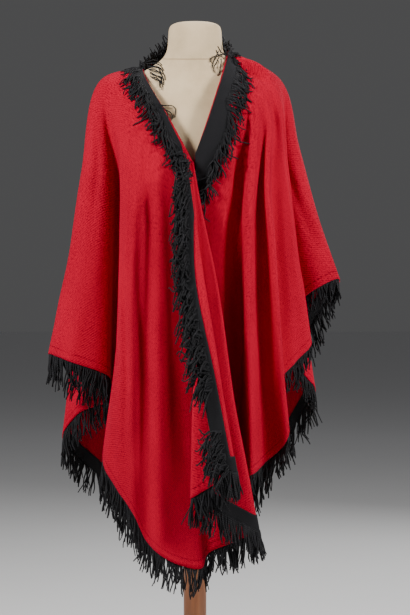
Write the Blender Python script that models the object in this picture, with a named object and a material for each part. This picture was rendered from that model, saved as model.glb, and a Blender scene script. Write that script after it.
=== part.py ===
"""A fringed ruana on a dress form with a stand.

Metres, +Z up. +X is the viewer's right and -Y points to the viewer. The origin is on the
floor, under the middle of the pole.

The cloth is one curved surface through named stations. Each station is a line that runs from
the neck edge over the shoulder or chest and down to the hem, and there is one for each fold.
"""
import math

import bmesh
import bpy
import numpy as np

MM = 0.001

# Driving sizes of the cloth
WALL = 2.0 * MM
SEAM_GAP = 0.3 * MM
LAPEL_INSET = 5.0 * MM
BAND_WIDTH = 33.0 * MM
BAND_THICKNESS = 1.2 * MM
BAND_GAP = 0.6 * MM
BODY_ROWS = 8
FOLD_STEPS = 3
LINE_SAMPLES = 65
SMALLEST_KNOT = 1e-4
SHARP_ANGLE = 50

# Three folds of the right front turn right back. Each takes this depth for its turn, in
# millimetres forward of its row, at the neck, the yoke, the upper and lower third, and the hem.
TURNS = {
    "first ridge": (4, 5, 8, 10, 10),
    "left turn": (4, 5, 8, 12, 14),
    "fold line": (6, 9, 10, 10, 10),
}

# Driving sizes of the fringe
LOCK_LENGTH = 58.0 * MM
LOCK_WIDTH = 8.0 * MM
LOCK_PITCH = 27.0 * MM
LOCK_SWELL = 1.6
LOCK_REACH = (0.85, 1.05)
LOCK_MOST_OF_EDGE = 0.55
TIP_SPREAD = 2.0 * MM
# How far a lock keeps the way of the cloth, how far it falls and how far it lifts off the face
LOCK_WAYS = {
    "hem": (0.30, 0.70, 0.02),
    "edge": (0.55, 0.60, 0.08),
    "lapel": (0.85, 0.15, 0.16),
    "neck": (0.10, -0.90, 0.10),
}
LOCK_SPREAD = 0.04
HEM_SEEDS = {"front_right": 157, "back": 108, "front_left": 150}

# Where the bands stop short of a seam or a corner, in columns of the cloth
BAND_COLUMNS = 3
TRIM_AT_WING = 4
TRIM_AT_BACK = 2
TRIM_AT_FRONT = 2

# Driving sizes of the stand
POLE_RADIUS = 24.5 * MM
BASE_RADIUS = 190.0 * MM
BASE_HEIGHT = 30.0 * MM
FORM_BOTTOM = 720.0 * MM
TOUCH_GAP = 0.3 * MM

# The neck edge of the cloth, where it is folded or ends, all in millimetres
NECK_COLUMNS = ("place", "x", "y", "z")
NECK = (
    ("opening point, right front", -4, -133, 1212),
    ("right front, halfway up", -49, -115, 1298),
    ("right front, below shoulder", -99, -62, 1388),
    ("right shoulder", -109, -4, 1425),
    ("back, right of neck", -82, 62, 1446),
    ("back of neck", -8, 97, 1472),
    ("back, left of neck", 60, 72, 1468),
    ("left shoulder", 69, 2, 1461),
    ("left front, below shoulder", 57.5, -65.5, 1405.5),
    ("left front, halfway up", 33, -107, 1323),
    ("opening point, left front", -5, -121, 1208),
)

# Where the cloth leaves the body and starts to hang, below each place of the neck edge
YOKE_COLUMNS = ("place", "x", "y", "z")
YOKE = (
    ("under opening point", 7, -152, 1150),
    ("right breast", -62, -142, 1215),
    ("right collar bone", -130, -98, 1325),
    ("right shoulder end", -203, 0, 1397),
    ("right shoulder blade", -150, 102, 1365),
    ("between shoulder blades", -10, 128, 1360),
    ("left shoulder blade", 135, 102, 1365),
    ("left shoulder end", 184, 0, 1397),
    ("left arm line", 146, -74, 1366),
    ("left collar bone", 88, -112, 1318),
    ("under opening point, left front", -20, -137, 1130),
)

# The turned back strip of the right front, from its free edge to the fold line
FLAP_COLUMNS = ("fold", "neck_x", "neck_y", "neck_z", "yoke_x", "yoke_y", "yoke_z",
                "upper_x", "upper_y", "lower_x", "lower_y", "hem_x", "hem_y", "hem_z")
FLAP = (
    ("free edge", -36, -156, 1238, -34, -179, 1163, -33, -230, 8, -264, 48, -274, 566),
    ("first ridge", -21, -151, 1224, -11, -172, 1156, 18, -219, 50, -250, 82, -261, 581),
    ("left turn", -12, -144, 1216, -2, -165, 1153, 10, -206, -1, -231, -5, -239, 529),
)

# The folds from the fold line of the right front round the back to the left front.
# Along says where the fold starts on the neck edge, counted in its places.
FOLD_COLUMNS = ("fold", "along", "upper_x", "upper_y", "lower_x", "lower_y",
                "hem_x", "hem_y", "hem_z")
RIGHT_FRONT = (
    ("fold line", 0.00, 52, -193, 85, -214, 128, -217, 459),
    ("under the fold line", 0.20, 30, -178, 56, -192, 85, -194, 434),
    ("inner facet", 0.30, 4, -178, 22, -190, 28, -192, 409),
    ("lowest point", 0.50, -18, -187, -5, -206, 14, -212, 381),
    ("shadow beside the fringe", 0.75, -46, -177, -38, -196, -29, -201, 387),
    ("middle ridge", 1.05, -70, -190, -70, -213, -66, -215, 407),
    ("middle valley", 1.35, -97, -175, -98, -196, -98, -198, 436),
    ("outer ridge", 1.65, -125, -178, -127, -200, -125, -199, 492),
    ("outer turn", 1.90, -146, -154, -157, -172, -162, -178, 544),
    ("outline", 2.15, -154, -115, -160, -130, -189, -145, 592),
    ("turn to the wing", 2.35, -150, -68, -156, -72, -173, -74, 684),
    ("wing valley, near wall", 2.48, -158, -29, -163, -28, -171, -29, 738),
    ("wing valley, far wall", 2.58, -168, -29, -172, -28, -177, -29, 748),
    ("wing, inner front", 2.72, -179, -74, -181, -78, -184, -84, 768),
    ("wing, outer front", 2.90, -219, -40, -238, -46, -262, -50, 795),
    ("wing tip", 3.00, -243, -5, -273, -5, -314, -5, 810),
)
BACK = (
    ("wing tip", 3.00, -243, -5, -273, -5, -314, -5, 810),
    ("right wing, back", 3.10, -224, 34, -241, 30, -247, 22, 760),
    ("right wing valley", 3.22, -198, 52, -194, 42, -189, 32, 709),
    ("right side, rising", 3.36, -214, 76, -226, 70, -254, 62, 679),
    ("right side ridge", 3.50, -235, 100, -265, 100, -292, 92, 623),
    ("right side of back", 3.70, -226, 132, -246, 137, -264, 134, 578),
    ("first back valley", 3.92, -186, 135, -198, 143, -215, 150, 532),
    ("first back ridge", 4.15, -150, 168, -160, 188, -168, 197, 455),
    ("second back valley", 4.40, -106, 145, -111, 156, -118, 166, 386),
    ("second back ridge", 4.68, -55, 172, -60, 196, -64, 210, 349),
    ("third back valley", 4.97, -13, 150, -13, 162, -12, 175, 343),
    ("third back ridge", 5.25, 36, 172, 41, 196, 45, 210, 375),
    ("fourth back valley", 5.50, 80, 145, 86, 156, 91, 166, 430),
    ("fourth back ridge", 5.75, 121, 166, 131, 186, 140, 196, 505),
    ("fifth back valley", 6.02, 160, 134, 171, 142, 186, 150, 586),
    ("left side of back", 6.30, 193, 120, 212, 128, 236, 135, 672),
    ("left side ridge", 6.52, 207, 88, 232, 92, 266, 98, 728),
    ("left side, rising", 6.68, 196, 68, 214, 66, 243, 66, 757),
    ("left wing valley", 6.80, 186, 46, 200, 42, 224, 40, 800),
    ("left wing, back", 6.91, 200, 26, 232, 27, 266, 27, 893),
    ("left wing tip", 7.00, 224, 0, 262, 0, 312, 0, 971),
)
LEFT_FRONT = (
    ("left wing tip", 7.00, 224, 0, 262, 0, 312, 0, 971),
    ("left wing, front", 7.12, 208, -26, 236, -26, 271, -24, 957),
    ("left wing, inner front", 7.27, 191, -28, 207, -22, 230, -12, 925),
    ("side valley", 7.40, 187, -38, 200, -34, 222, -26, 880),
    ("side ridge", 7.57, 198, -66, 222, -62, 246, -54, 835),
    ("side facet", 7.75, 183, -92, 198, -88, 212, -80, 795),
    ("upper valley", 7.90, 160, -104, 166, -98, 176, -96, 751),
    ("second ridge", 8.11, 156, -142, 170, -156, 193, -158, 644),
    ("valley between ridges", 8.32, 134, -124, 138, -130, 144, -136, 587),
    ("first ridge of left front", 8.53, 118, -162, 111, -184, 115, -180, 567),
    ("deep valley", 8.80, 88, -122, 88, -132, 92, -134, 556),
    ("under the right front", 9.18, 56, -146, 57, -160, 60, -158, 551),
    ("under the right front, middle", 9.62, 16, -150, 14, -162, 12, -162, 551),
    ("left front edge", 10.00, -30, -150, -34, -160, -34, -160, 560),
)

# The dress form in rings, all in millimetres
FORM_COLUMNS = ("ring", "z", "half_width", "front", "back")
FORM = (
    ("underside edge", 720, 128, 84, 92),
    ("underside", 732, 140, 94, 102),
    ("hip", 810, 152, 102, 112),
    ("high hip", 890, 142, 96, 104),
    ("waist", 995, 114, 84, 84),
    ("ribs", 1080, 126, 96, 88),
    ("bust", 1175, 145, 114, 94),
    ("above bust", 1240, 152, 104, 98),
    ("chest", 1300, 162, 88, 98),
    ("arm line", 1345, 176, 76, 92),
    ("shoulder end", 1376, 178, 66, 82),
    ("shoulder", 1393, 163, 58, 72),
    ("shoulder, middle", 1409, 128, 52.5, 65),
    ("shoulder, inner", 1424.5, 95, 51.5, 61),
    ("neck flare", 1439.5, 74, 52.5, 60),
    ("neck base", 1454, 62, 55, 58),
    ("neck", 1475, 58, 57, 57),
    ("neck top", 1505, 57.5, 57.5, 57.5),
    ("neck top edge", 1515, 54, 54, 54),
    ("top", 1520, 40, 40, 40),
)
FORM_TOP = 1522.0 * MM
FORM_SIDES = 36
FORM_ROUND = 2.25

RED = (0.52, 0.006, 0.022, 1.0)
BLACK = (0.012, 0.012, 0.016, 1.0)
CREAM = (0.72, 0.66, 0.52, 1.0)
WOOD = (0.56, 0.30, 0.12, 1.0)


def rows_of(table, columns):
    """A table's rows as dictionaries, by column name."""
    return [dict(zip(columns, row)) for row in table]


def clear_scene():
    for obj in list(bpy.data.objects):
        bpy.data.objects.remove(obj, do_unlink=True)


def material(name, colour, roughness):
    mat = bpy.data.materials.new(name)
    mat.use_nodes = True
    shader = mat.node_tree.nodes["Principled BSDF"]
    shader.inputs["Base Color"].default_value = colour
    shader.inputs["Roughness"].default_value = roughness
    shader.inputs["Metallic"].default_value = 0.0
    return mat


def curve_point(points, where):
    """A point on the smooth curve through the points, where 1.5 is between the second and third.

    Knots go by the square root of the distance, so a tight turn makes no loop."""
    count = len(points)
    span = min(int(where), count - 2)
    part = where - span
    before = points[span - 1] if span > 0 else 2 * points[0] - points[1]
    after = points[span + 2] if span + 2 < count else 2 * points[-1] - points[-2]
    four = (before, points[span], points[span + 1], after)
    knots = [0.0]
    for first, second in zip(four, four[1:]):
        knots.append(knots[-1] + max(math.sqrt(np.linalg.norm(second - first)), SMALLEST_KNOT))
    at = knots[1] + part * (knots[2] - knots[1])

    def between(first, second, low, high):
        share = (at - low) / (high - low)
        return (1 - share) * first + share * second

    lines = [between(four[i], four[i + 1], knots[i], knots[i + 1]) for i in range(3)]
    bends = [between(lines[i], lines[i + 1], knots[i], knots[i + 2]) for i in range(2)]
    return between(bends[0], bends[1], knots[1], knots[2])


def place_on(table, along):
    """A point on the neck edge or yoke line, by how many places along it lies."""
    points = [np.array((row["x"], row["y"], row["z"]), float) * MM for row in table]
    return curve_point(points, along)


def station_points(row, neck_line, yoke_line):
    """The five points of a station: neck, yoke, upper and lower third of the drop, and hem."""
    if "along" in row:
        neck = place_on(neck_line, row["along"])
        yoke = place_on(yoke_line, row["along"])
    else:
        neck = np.array((row["neck_x"], row["neck_y"], row["neck_z"]), float) * MM
        yoke = np.array((row["yoke_x"], row["yoke_y"], row["yoke_z"]), float) * MM
    hem = np.array((row["hem_x"], row["hem_y"], row["hem_z"]), float) * MM
    drop = hem[2] - yoke[2]
    upper = np.array((row["upper_x"] * MM, row["upper_y"] * MM, yoke[2] + drop / 3))
    lower = np.array((row["lower_x"] * MM, row["lower_y"] * MM, yoke[2] + 2 * drop / 3))
    return [neck, yoke, upper, lower, hem]


def all_stations(folds, neck_line, yoke_line):
    """Every station of the cloth, with two for a fold that turns right back."""
    stations = []
    for row in folds:
        points = station_points(row, neck_line, yoke_line)
        if row["fold"] not in TURNS:
            stations.append(points)
            continue
        for side in (-1, 0):
            stations.append([p + np.array((0.0, side * depth * MM, 0.0))
                             for p, depth in zip(points, TURNS[row["fold"]])])
    return stations


def station_line(points):
    """A station as rows from the neck to the hem.

    The first two rows set off the band at the neck edge, and the last one the band at the hem."""
    places = np.linspace(0, len(points) - 1, LINE_SAMPLES)
    fine = np.array([curve_point(points, place) for place in places])
    run = np.concatenate(([0.0], np.cumsum(np.linalg.norm(np.diff(fine, axis=0), axis=1))))
    length = run[-1]
    start = LAPEL_INSET + BAND_WIDTH
    stop = length - BAND_WIDTH
    middle = np.linspace(start, stop, BODY_ROWS + 1)
    places = np.concatenate(([0.0, LAPEL_INSET], middle, [length]))
    return np.array([[np.interp(p, run, fine[:, axis]) for axis in range(3)] for p in places])


def cloth_surface(stations, steps):
    """The middle of the cloth as a grid, columns first, with its outward normals."""
    lines = [station_line(points) for points in stations]
    spans = len(lines) - 1
    places = np.linspace(0, spans, spans * steps + 1)
    rows = lines[0].shape[0]
    grid = np.zeros((len(places), rows, 3))
    for j in range(rows):
        across = [line[j] for line in lines]
        for i, place in enumerate(places):
            grid[i, j] = curve_point(across, place)
    along = np.gradient(grid, axis=0)
    down = np.gradient(grid, axis=1)
    normals = np.cross(along, down)
    normals /= np.linalg.norm(normals, axis=2, keepdims=True)
    return grid, normals


def mesh_object(name, points, faces, mat):
    mesh = bpy.data.meshes.new(name)
    mesh.from_pydata([tuple(p) for p in points], [], faces)
    shape = bmesh.new()
    shape.from_mesh(mesh)
    bmesh.ops.recalc_face_normals(shape, faces=shape.faces)
    if shape.calc_volume(signed=True) < 0:
        bmesh.ops.reverse_faces(shape, faces=shape.faces)
    shape.to_mesh(mesh)
    shape.free()
    mesh.materials.append(mat)
    mesh.shade_smooth()
    mesh.set_sharp_from_angle(angle=math.radians(SHARP_ANGLE))
    obj = bpy.data.objects.new(name, mesh)
    bpy.context.collection.objects.link(obj)
    return obj


def add_wall(name, grid, normals, mat):
    """A cloth panel: the grid moved out and in by half the wall, closed round its edge."""
    columns, rows = grid.shape[:2]
    outer = (grid + normals * WALL / 2).reshape(-1, 3)
    inner = (grid - normals * WALL / 2).reshape(-1, 3)
    points = np.concatenate((outer, inner))
    back = columns * rows
    faces = []
    for i in range(columns - 1):
        for j in range(rows - 1):
            a = i * rows + j
            b = a + rows
            c = b + 1
            d = a + 1
            faces += [(a, b, c), (a, c, d), (back + a, back + c, back + b),
                      (back + a, back + d, back + c)]
    ring = [(i, 0) for i in range(columns)] + [(columns - 1, j) for j in range(1, rows)]
    ring += [(i, rows - 1) for i in range(columns - 2, -1, -1)]
    ring += [(0, j) for j in range(rows - 2, 0, -1)]
    corners = [i * rows + j for i, j in ring]
    for first, second in zip(corners, corners[1:] + corners[:1]):
        if first < second:
            faces += [(first, second, back + second), (first, back + second, back + first)]
        else:
            faces += [(first, second, back + first), (second, back + second, back + first)]
    return mesh_object(name, points, faces, mat)


def lock_direction(out, lift, style, chance):
    """Which way a lock of fringe hangs from its band."""
    own, fall, rise = LOCK_WAYS[style]
    way = own * out + fall * np.array((0.0, 0.0, -1.0)) + rise * lift
    way += chance.uniform(-LOCK_SPREAD, LOCK_SPREAD, 3)
    return way / np.linalg.norm(way)


def add_fringe(name, middle, normals, side, mat, style, apex_at_start, seed):
    """A band on one face of the cloth, with locks of fringe drawn out of its free edge.

    The grid runs along the edge first and across the band second, and ends at the free edge.
    Side is 1 for the outer face of the cloth and -1 for the inner one. The diagonals follow
    those of the cloth, so the band lies parallel to it all over."""
    near = middle + normals * side * (WALL / 2 + BAND_GAP)
    far = near + normals * side * BAND_THICKNESS
    along, across = middle.shape[:2]
    points = []
    index = {}

    def vertex(key, place):
        if key not in index:
            index[key] = len(points)
            points.append(np.array(place, float))
        return index[key]

    def corner(layer, i, k):
        return vertex((layer, i, k), (near, far)[layer][i, k])

    faces = []
    last = across - 1
    left_over = 0.5
    chance = np.random.RandomState(seed)
    for i in range(along - 1):
        for k in range(last - 1):
            for layer in (0, 1):
                a, b = corner(layer, i, k), corner(layer, i + 1, k)
                c, d = corner(layer, i + 1, k + 1), corner(layer, i, k + 1)
                faces += [(a, b, c), (a, c, d)] if apex_at_start else [(a, b, d), (b, c, d)]
        start, end = middle[i, last], middle[i + 1, last]
        length = np.linalg.norm(end - start)
        left_over += length / LOCK_PITCH
        count = int(left_over)
        left_over -= count
        width = min(LOCK_WIDTH, LOCK_MOST_OF_EDGE * length / max(count, 1))
        half = width / 2 / length
        cuts = []
        for n in range(count):
            centre = (n + 0.5) / count
            cuts += [centre - half, centre + half]
        edge = [[], []]
        for layer in (0, 1):
            edge[layer].append(corner(layer, i, last))
            for n, cut in enumerate(cuts):
                spot = (1 - cut) * (near, far)[layer][i, last] + cut * (near, far)[layer][i + 1, last]
                edge[layer].append(vertex((layer, i, last, n), spot))
            edge[layer].append(corner(layer, i + 1, last))
            a, b = corner(layer, i, last - 1), corner(layer, i + 1, last - 1)
            apex = a if apex_at_start else b
            faces += [(apex, first, second) for first, second in zip(edge[layer], edge[layer][1:])]
            other = edge[layer][-1] if apex_at_start else edge[layer][0]
            faces.append((a, b, other))
        out = middle[i, last] - middle[i, last - 1] + middle[i + 1, last] - middle[i + 1, last - 1]
        out /= np.linalg.norm(out)
        lift = (normals[i, last] + normals[i + 1, last]) * side / 2
        for n in range(len(cuts) + 1):
            root = (edge[0][n], edge[0][n + 1], edge[1][n + 1], edge[1][n])
            if n % 2 == 0:
                faces += [(root[0], root[1], root[2]), (root[0], root[2], root[3])]
                continue
            way = lock_direction(out, lift, style, chance)
            reach = LOCK_LENGTH * chance.uniform(*LOCK_REACH)
            heart = sum(points[v] for v in root) / 4
            waist = []
            for v in root:
                points.append(heart + (points[v] - heart) * LOCK_SWELL + way * reach * 0.5)
                waist.append(len(points) - 1)
            points.append(heart + way * reach + chance.uniform(-TIP_SPREAD, TIP_SPREAD, 3))
            tip = len(points) - 1
            for m in range(4):
                a, b = root[m], root[(m + 1) % 4]
                c, d = waist[(m + 1) % 4], waist[m]
                faces += [(a, b, c), (a, c, d), (d, c, tip)]
    for i in range(along - 1):
        a, b = corner(0, i, 0), corner(0, i + 1, 0)
        faces += [(a, b, corner(1, i + 1, 0)), (a, corner(1, i + 1, 0), corner(1, i, 0))]
    for i in (0, along - 1):
        for k in range(last):
            a, b = corner(0, i, k), corner(0, i, k + 1)
            faces += [(a, b, corner(1, i, k + 1)), (a, corner(1, i, k + 1), corner(1, i, k))]
    return mesh_object(name, points, faces, mat)


def add_form(mat):
    """The limbless dress form: rings that are a little squarer than an ellipse."""
    points = []
    faces = []
    rings = rows_of(FORM, FORM_COLUMNS)
    for ring in rings:
        for side in range(FORM_SIDES):
            turn = 2 * math.pi * side / FORM_SIDES
            sine, cosine = math.sin(turn), math.cos(turn)
            depth = ring["back"] if sine > 0 else ring["front"]
            x = math.copysign(abs(cosine) ** (2 / FORM_ROUND), cosine) * ring["half_width"]
            y = math.copysign(abs(sine) ** (2 / FORM_ROUND), sine) * depth
            points.append((x * MM, y * MM, ring["z"] * MM))
    for level in range(len(rings) - 1):
        for side in range(FORM_SIDES):
            a = level * FORM_SIDES + side
            b = level * FORM_SIDES + (side + 1) % FORM_SIDES
            faces.append((a, b, b + FORM_SIDES, a + FORM_SIDES))
    points.append((0.0, 0.0, FORM_TOP))
    top = len(points) - 1
    first_top = (len(rings) - 1) * FORM_SIDES
    for side in range(FORM_SIDES):
        faces.append((first_top + side, first_top + (side + 1) % FORM_SIDES, top))
    faces.append(tuple(range(FORM_SIDES - 1, -1, -1)))
    return mesh_object("form_torso", points, faces, mat)


def add_turned(name, radius, bottom, top, edge, mat, sides=40):
    """A turned wooden piece with eased edges."""
    bpy.ops.mesh.primitive_cylinder_add(vertices=sides, radius=radius, depth=top - bottom,
                                        location=(0.0, 0.0, (top + bottom) / 2))
    obj = bpy.context.object
    obj.name = name
    obj.data.name = name
    obj.data.materials.append(mat)
    bevel = obj.modifiers.new("edges", "BEVEL")
    bevel.width = edge
    bevel.segments = 2
    bevel.limit_method = "ANGLE"
    bevel.angle_limit = math.radians(60)
    obj.data.shade_smooth()
    obj.data.set_sharp_from_angle(angle=math.radians(SHARP_ANGLE))
    return obj


def open_seam(grid, normals, first, last):
    """One panel of the cloth, held back by half the seam gap at the ends that meet another."""
    part = grid[first:last + 1].copy()
    for at, end, sign in ((first, 0, 1), (last, -1, -1)):
        if 0 < at < len(grid) - 1:
            way = grid[at + 1] - grid[at - 1]
            part[end] += sign * way / np.linalg.norm(way, axis=1, keepdims=True) * SEAM_GAP / 2
    return part, normals[first:last + 1]


def build():
    clear_scene()
    red = material("cloth_red", RED, 0.85)
    black = material("fringe_black", BLACK, 0.8)
    cream = material("form_cream", CREAM, 0.8)
    wood = material("stand_wood", WOOD, 0.5)

    neck_line = rows_of(NECK, NECK_COLUMNS)
    yoke_line = rows_of(YOKE, YOKE_COLUMNS)
    folds = rows_of(FLAP, FLAP_COLUMNS) + rows_of(RIGHT_FRONT, FOLD_COLUMNS)
    right_end = (len(folds) - 1 + len(TURNS)) * FOLD_STEPS
    folds += rows_of(BACK, FOLD_COLUMNS)[1:]
    back_end = (len(folds) - 1 + len(TURNS)) * FOLD_STEPS
    folds += rows_of(LEFT_FRONT, FOLD_COLUMNS)[1:]
    stations = all_stations(folds, neck_line, yoke_line)
    grid, normals = cloth_surface(stations, FOLD_STEPS)
    end = len(grid) - 1

    panels = (("front_right", 0, right_end), ("back", right_end, back_end),
              ("front_left", back_end, end))
    for name, first, last in panels:
        add_wall(name, *open_seam(grid, normals, first, last), red)

    last_row = grid.shape[1] - 1
    for name, first, last in panels:
        part, part_normals = open_seam(grid, normals, first, last)
        add_fringe("fringe_hem_" + name, part[:, last_row - 1:], part_normals[:, last_row - 1:],
                   -1, black, "hem", True, HEM_SEEDS[name])

    flap_end = (len(FLAP) + len(TURNS)) * FOLD_STEPS
    fronts = (
        ("fringe_front_right", slice(BAND_COLUMNS - 1, None, -1), 1, -1, False, 129),
        ("fringe_front_left", slice(end - BAND_COLUMNS + 1, None), 4, 1, True, 122),
    )
    for name, columns, top_row, side, apex_at_start, seed in fronts:
        rows = slice(top_row, last_row - 1)
        add_fringe(name, grid[columns, rows].transpose(1, 0, 2),
                   normals[columns, rows].transpose(1, 0, 2), side, black, "edge",
                   apex_at_start, seed)
    necks = (
        ("fringe_neck_right", slice(flap_end + TRIM_AT_WING, right_end - TRIM_AT_WING),
         slice(1, 3), 1, "lapel", True, 122),
        ("fringe_neck_back", slice(right_end - TRIM_AT_BACK, back_end + TRIM_AT_BACK),
         slice(2, None, -1), -1, "neck", False, 115),
        ("fringe_neck_left", slice(back_end + TRIM_AT_WING, end - TRIM_AT_FRONT),
         slice(1, 3), 1, "lapel", True, 115),
    )
    for name, columns, rows, side, style, apex_at_start, seed in necks:
        add_fringe(name, grid[columns, rows], normals[columns, rows], side, black, style,
                   apex_at_start, seed)

    add_form(cream)
    add_turned("stand_pole", POLE_RADIUS, BASE_HEIGHT + TOUCH_GAP, FORM_BOTTOM - TOUCH_GAP,
               2 * MM, wood)
    add_turned("stand_base", BASE_RADIUS, 0.0, BASE_HEIGHT, 8 * MM, wood, sides=64)


build()
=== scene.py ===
# Fringed poncho on a dress form: cloth, bands, fringe, form, stand, camera and lights
import math
import bpy
import numpy as np
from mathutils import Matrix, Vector
from mathutils.bvhtree import BVHTree


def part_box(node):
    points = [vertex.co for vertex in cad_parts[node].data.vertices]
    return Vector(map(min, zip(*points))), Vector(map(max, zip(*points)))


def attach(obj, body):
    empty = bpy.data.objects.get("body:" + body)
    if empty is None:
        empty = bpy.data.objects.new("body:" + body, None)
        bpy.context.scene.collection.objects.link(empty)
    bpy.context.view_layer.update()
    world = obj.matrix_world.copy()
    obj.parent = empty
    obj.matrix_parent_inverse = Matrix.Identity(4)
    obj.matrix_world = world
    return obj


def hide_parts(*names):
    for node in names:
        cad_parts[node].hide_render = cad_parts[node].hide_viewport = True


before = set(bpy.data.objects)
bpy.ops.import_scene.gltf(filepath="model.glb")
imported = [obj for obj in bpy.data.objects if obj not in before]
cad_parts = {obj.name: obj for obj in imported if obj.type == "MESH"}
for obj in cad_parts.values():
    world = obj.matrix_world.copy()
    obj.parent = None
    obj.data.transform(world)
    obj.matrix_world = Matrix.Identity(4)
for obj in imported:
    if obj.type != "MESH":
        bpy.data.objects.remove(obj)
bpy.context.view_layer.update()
mm = 0.001
print("frame loaded:", ", ".join(sorted(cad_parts)))


# Camera: level with the middle of the cloth, as in the photo
view = {"place": (0.0215, -3.6, 0.91), "aim": (0.0215, 0.0, 0.91), "lens": 98.0, "longSide": 36.0}


def makeCamera():
    bpy.ops.object.camera_add(location=view["place"])
    camera = bpy.context.object
    camera.name = "camera"
    way = Vector(view["aim"]) - Vector(view["place"])
    camera.rotation_euler = way.to_track_quat("-Z", "Y").to_euler()
    camera.data.lens = view["lens"]
    camera.data.sensor_width = view["longSide"]
    camera.data.dof.use_dof = False
    bpy.context.scene.camera = camera


makeCamera()


# Shader sockets that can be written as sums
class Wire:
    def __init__(self, paint, socket):
        self.paint = paint
        self.socket = socket

    def maths(self, kind, other=None, swap=False):
        pair = [self, other] if other is not None else [self]
        if swap:
            pair.reverse()
        return self.paint.node("ShaderNodeMath", {"operation": kind}, dict(enumerate(pair)))

    def __add__(self, other):
        return self.maths("ADD", other)

    def __sub__(self, other):
        return self.maths("SUBTRACT", other)

    def __rsub__(self, other):
        return self.maths("SUBTRACT", other, True)

    def __mul__(self, other):
        return self.maths("MULTIPLY", other)

    __radd__ = __add__

    def sine(self):
        return self.maths("SINE")

    def size(self):
        return self.maths("ABSOLUTE")


# A material with one Principled shader
class Paint:
    def __init__(self, name, fixed):
        self.material = bpy.data.materials.new(name)
        self.material.use_nodes = True
        self.tree = self.material.node_tree
        self.shader = self.tree.nodes["Principled BSDF"]
        for socket, value in fixed.items():
            self.shader.inputs[socket].default_value = value

    def node(self, kind, settings=None, inputs=None, out=0):
        made = self.tree.nodes.new(kind)
        for name, value in (settings or {}).items():
            setattr(made, name, value)
        for name, value in (inputs or {}).items():
            if isinstance(value, Wire):
                self.tree.links.new(value.socket, made.inputs[name])
            else:
                made.inputs[name].default_value = value
        return Wire(self, made.outputs[out])

    def feed(self, socket, wire):
        self.tree.links.new(wire.socket, self.shader.inputs[socket])

    # Object coordinates, or a UV map in metres
    def place(self, uv=None):
        if uv:
            return self.node("ShaderNodeUVMap", {"uv_map": uv})
        return self.node("ShaderNodeTexCoord", out=3)

    def parts(self, vector):
        split = self.node("ShaderNodeSeparateXYZ", inputs={"Vector": vector})
        node = split.socket.node
        return [Wire(self, node.outputs[i]) for i in range(3)]

    def noise(self, vector, scale, detail=3.0, rough=0.5):
        return self.node("ShaderNodeTexNoise", {"noise_dimensions": "3D"},
                         {"Vector": vector, "Scale": scale, "Detail": detail, "Roughness": rough})

    # Mix of two colours
    def blend(self, share, first, second):
        mixed = self.node("ShaderNodeMix", {"data_type": "RGBA"}, {0: share, 6: first, 7: second})
        return Wire(self, mixed.socket.node.outputs[2])

    def bump(self, height, distance, strength, under=None):
        inputs = {"Height": height, "Distance": distance, "Strength": strength}
        if under:
            inputs["Normal"] = under
        return self.node("ShaderNodeBump", inputs=inputs)


# 0 below low and 1 above high
def ramp01(wire, low, high):
    return wire.paint.node("ShaderNodeMapRange", {"interpolation_type": "SMOOTHSTEP"},
                           {"Value": wire, "From Min": low, "From Max": high})


# How much each thing lightens the wool is under its own name ending in Tone
twill = {"rib": 4.2 * mm, "wander": 14 * mm, "wanderScale": 14.0, "yarnScale": 260.0,
         "patchScale": 5.0, "deep": (0.11, 0.0003, 0.005, 1), "lit": (0.44, 0.0011, 0.022, 1),
         "ribTone": 0.13, "yarnTone": 2.6, "patchTone": 0.6, "seamTone": 0.2,
         "darkest": 0.92, "lightest": 1.86, "ribHeight": 0.35, "yarnHeight": 2.7,
         "relief": 0.8 * mm, "stitchUp": 17 * mm, "stitchWidth": 2.6 * mm, "puckerScale": 120.0}


def paintTwill():
    paint = Paint("redTwill", {"Roughness": 0.85, "Sheen Weight": 0.04, "Sheen Roughness": 0.4,
                               "Sheen Tint": (1.0, 0.12, 0.30, 1), "Specular IOR Level": 0.06})
    flat = paint.place("flat")
    u, v, _ = paint.parts(flat)
    wander = paint.noise(flat, twill["wanderScale"], 4.0)
    slant = (u + v + wander * twill["wander"]) * (2 * math.pi / twill["rib"] * 0.7071)
    rib = slant.sine()
    yarn = paint.noise(flat, twill["yarnScale"], 5.0, 0.8)
    patches = paint.noise(flat, twill["patchScale"], 5.0, 0.6)
    edge = paint.place("edge")
    _, fromHem, _ = paint.parts(edge)
    seam = 1 - ramp01((fromHem - twill["stitchUp"]).size(), 0.5 * mm, twill["stitchWidth"])
    share = rib * twill["ribTone"] + yarn * twill["yarnTone"]
    share = share + patches * twill["patchTone"] - seam * twill["seamTone"]
    lightness = ramp01(share, twill["darkest"], twill["lightest"])
    paint.feed("Base Color", paint.blend(lightness, twill["deep"], twill["lit"]))
    paint.feed("Roughness", 0.78 + yarn * 0.16)
    height = rib * twill["ribHeight"] + yarn * twill["yarnHeight"]
    weave = paint.bump(height, twill["relief"], 0.9)
    pucker = paint.noise(edge, twill["puckerScale"], 1.0)
    paint.feed("Normal", paint.bump(0 - seam * (0.5 + pucker * 0.5), twill["relief"], 0.6, weave))
    return paint.material


# knit: the size of a stitch along and across the band. ply: one twist of a strand
blackWool = {"deep": (0.0008, 0.0008, 0.001, 1), "lit": (0.013, 0.012, 0.015, 1),
             "darkest": 0.2, "lightest": 0.85, "knit": (3.0 * mm, 2.4 * mm), "fluffScale": 420.0,
             "ply": 9 * mm, "toneScale": 60.0}


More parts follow.
